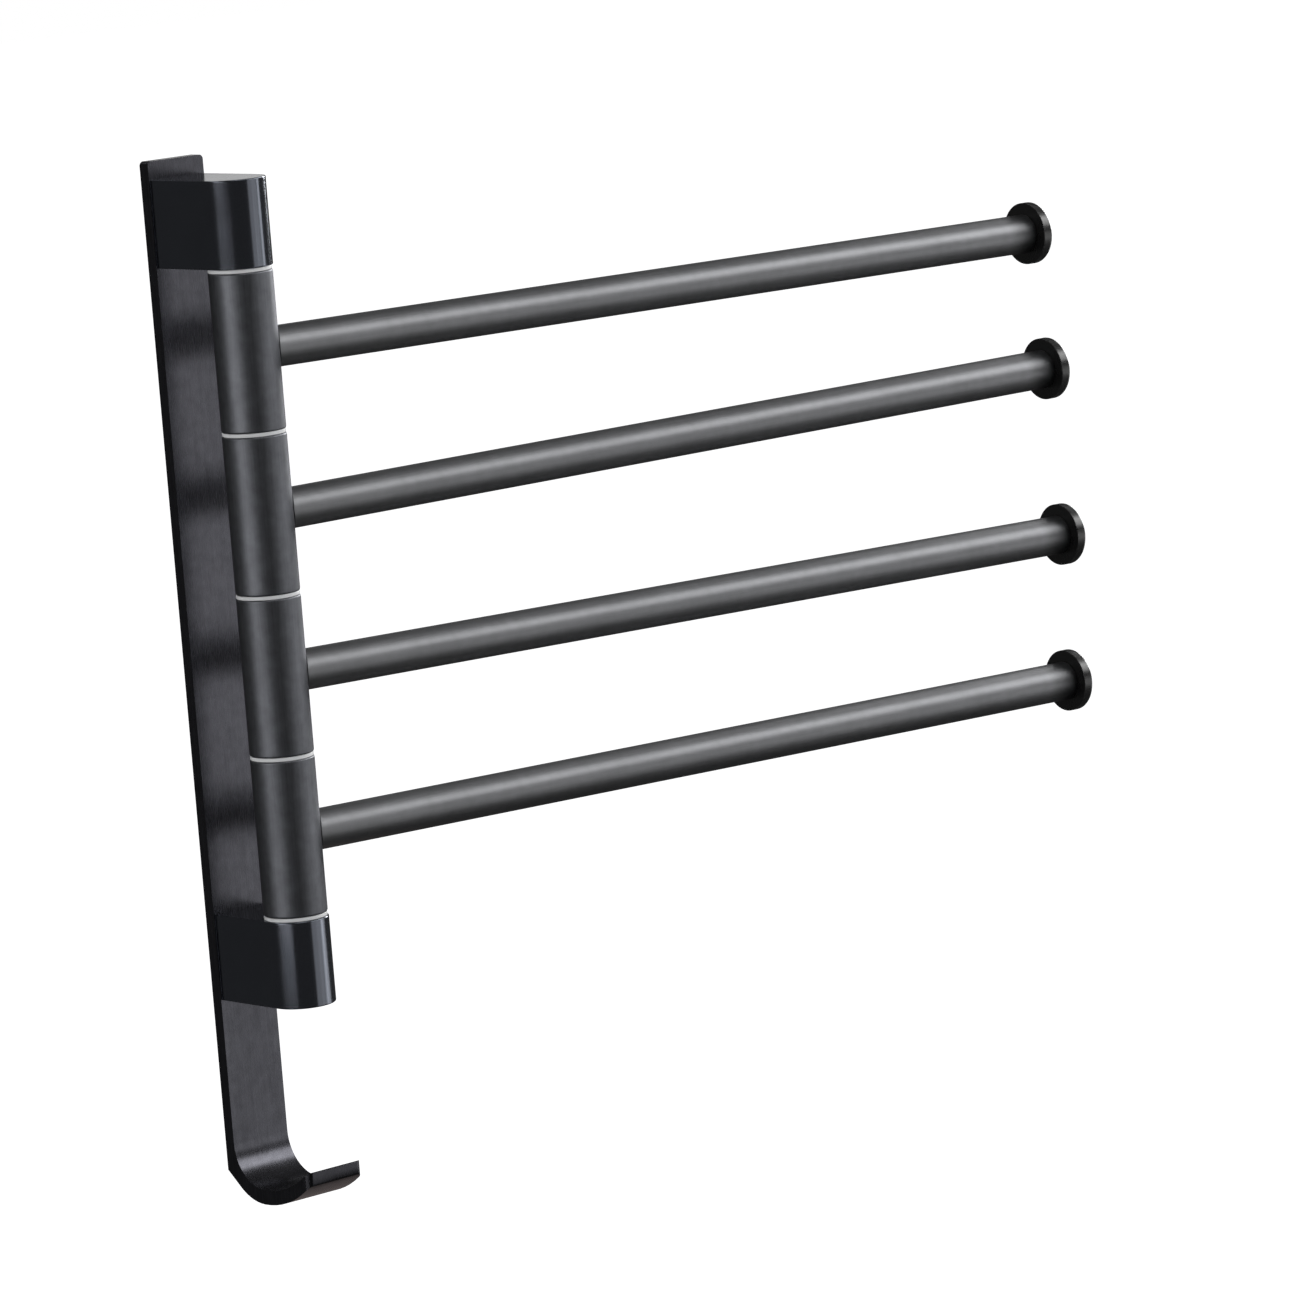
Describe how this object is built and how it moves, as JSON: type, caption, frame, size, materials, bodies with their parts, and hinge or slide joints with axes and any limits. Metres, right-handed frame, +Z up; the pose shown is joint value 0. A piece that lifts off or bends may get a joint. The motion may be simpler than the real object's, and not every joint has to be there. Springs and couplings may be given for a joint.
{
  "type": "swing arm towel bar",
  "caption": "Wall-mounted towel rack with capped round bars that swing on an upright column, carried by a narrow strip whose foot is bent forward into a hook.",
  "frame": {"origin": "on the wall's plane, midway between the two wall screw holes, level with the middle washer of the column", "axes": "+Y into the wall, +Z up, +X along the wall towards the side that the arms point to at rest"},
  "size_m": [0.3655, 0.0758, 0.3589],
  "materials": {
    "satin_black": "satin black anodised, fine lengthwise brushing",
    "satin_sleeve": "satin black anodised",
    "satin_bar": "satin black anodised",
    "gloss_black": "gloss black lacquer",
    "gloss_cap": "gloss black",
    "white_plastic": "natural white nylon",
    "bush_plastic": "natural white acetal",
    "steel": "plain zinc-plated steel",
    "dark_steel": "black oxide steel"
  },
  "bodies": {
    "rack": {"wall_plate": "satin_black", "upper_hanger": "steel", "lower_hanger": "steel", "hanger_lock_screws": "dark_steel", "upper_bracket": "gloss_black", "lower_bracket": "gloss_black", "bracket_screws": "steel", "shaft": "steel", "washer_1": "white_plastic", "washer_2": "white_plastic", "washer_3": "white_plastic", "washer_4": "white_plastic", "washer_5": "white_plastic"},
    "arm_1": {"sleeve_1": "satin_sleeve", "upper_bush_1": "bush_plastic", "lower_bush_1": "bush_plastic", "bar_1": "satin_bar", "bar_plug_1": "steel", "bar_stud_1": "dark_steel", "end_cap_1": "gloss_cap"},
    "arm_2": {"sleeve_2": "satin_sleeve", "upper_bush_2": "bush_plastic", "lower_bush_2": "bush_plastic", "bar_2": "satin_bar", "bar_plug_2": "steel", "bar_stud_2": "dark_steel", "end_cap_2": "gloss_cap"},
    "arm_3": {"sleeve_3": "satin_sleeve", "upper_bush_3": "bush_plastic", "lower_bush_3": "bush_plastic", "bar_3": "satin_bar", "bar_plug_3": "steel", "bar_stud_3": "dark_steel", "end_cap_3": "gloss_cap"},
    "arm_4": {"sleeve_4": "satin_sleeve", "upper_bush_4": "bush_plastic", "lower_bush_4": "bush_plastic", "bar_4": "satin_bar", "bar_plug_4": "steel", "bar_stud_4": "dark_steel", "end_cap_4": "gloss_cap"}
  },
  "joints": [
    {"name": "swing_1", "type": "hinge", "parent": "rack", "child": "arm_1", "pos_m": [0, -0.0345, 0.08295], "axis": [0, 0, 1], "range_deg": [-179.3, 6.7]},
    {"name": "swing_2", "type": "hinge", "parent": "rack", "child": "arm_2", "pos_m": [0, -0.0345, 0.02765], "axis": [0, 0, 1], "range_deg": [-178.5, 7.5]},
    {"name": "swing_3", "type": "hinge", "parent": "rack", "child": "arm_3", "pos_m": [0, -0.0345, -0.02765], "axis": [0, 0, 1], "range_deg": [-178.1, 7.9]},
    {"name": "swing_4", "type": "hinge", "parent": "rack", "child": "arm_4", "pos_m": [0, -0.0345, -0.08295], "axis": [0, 0, 1], "range_deg": [-178.4, 7.6]}
  ]
}
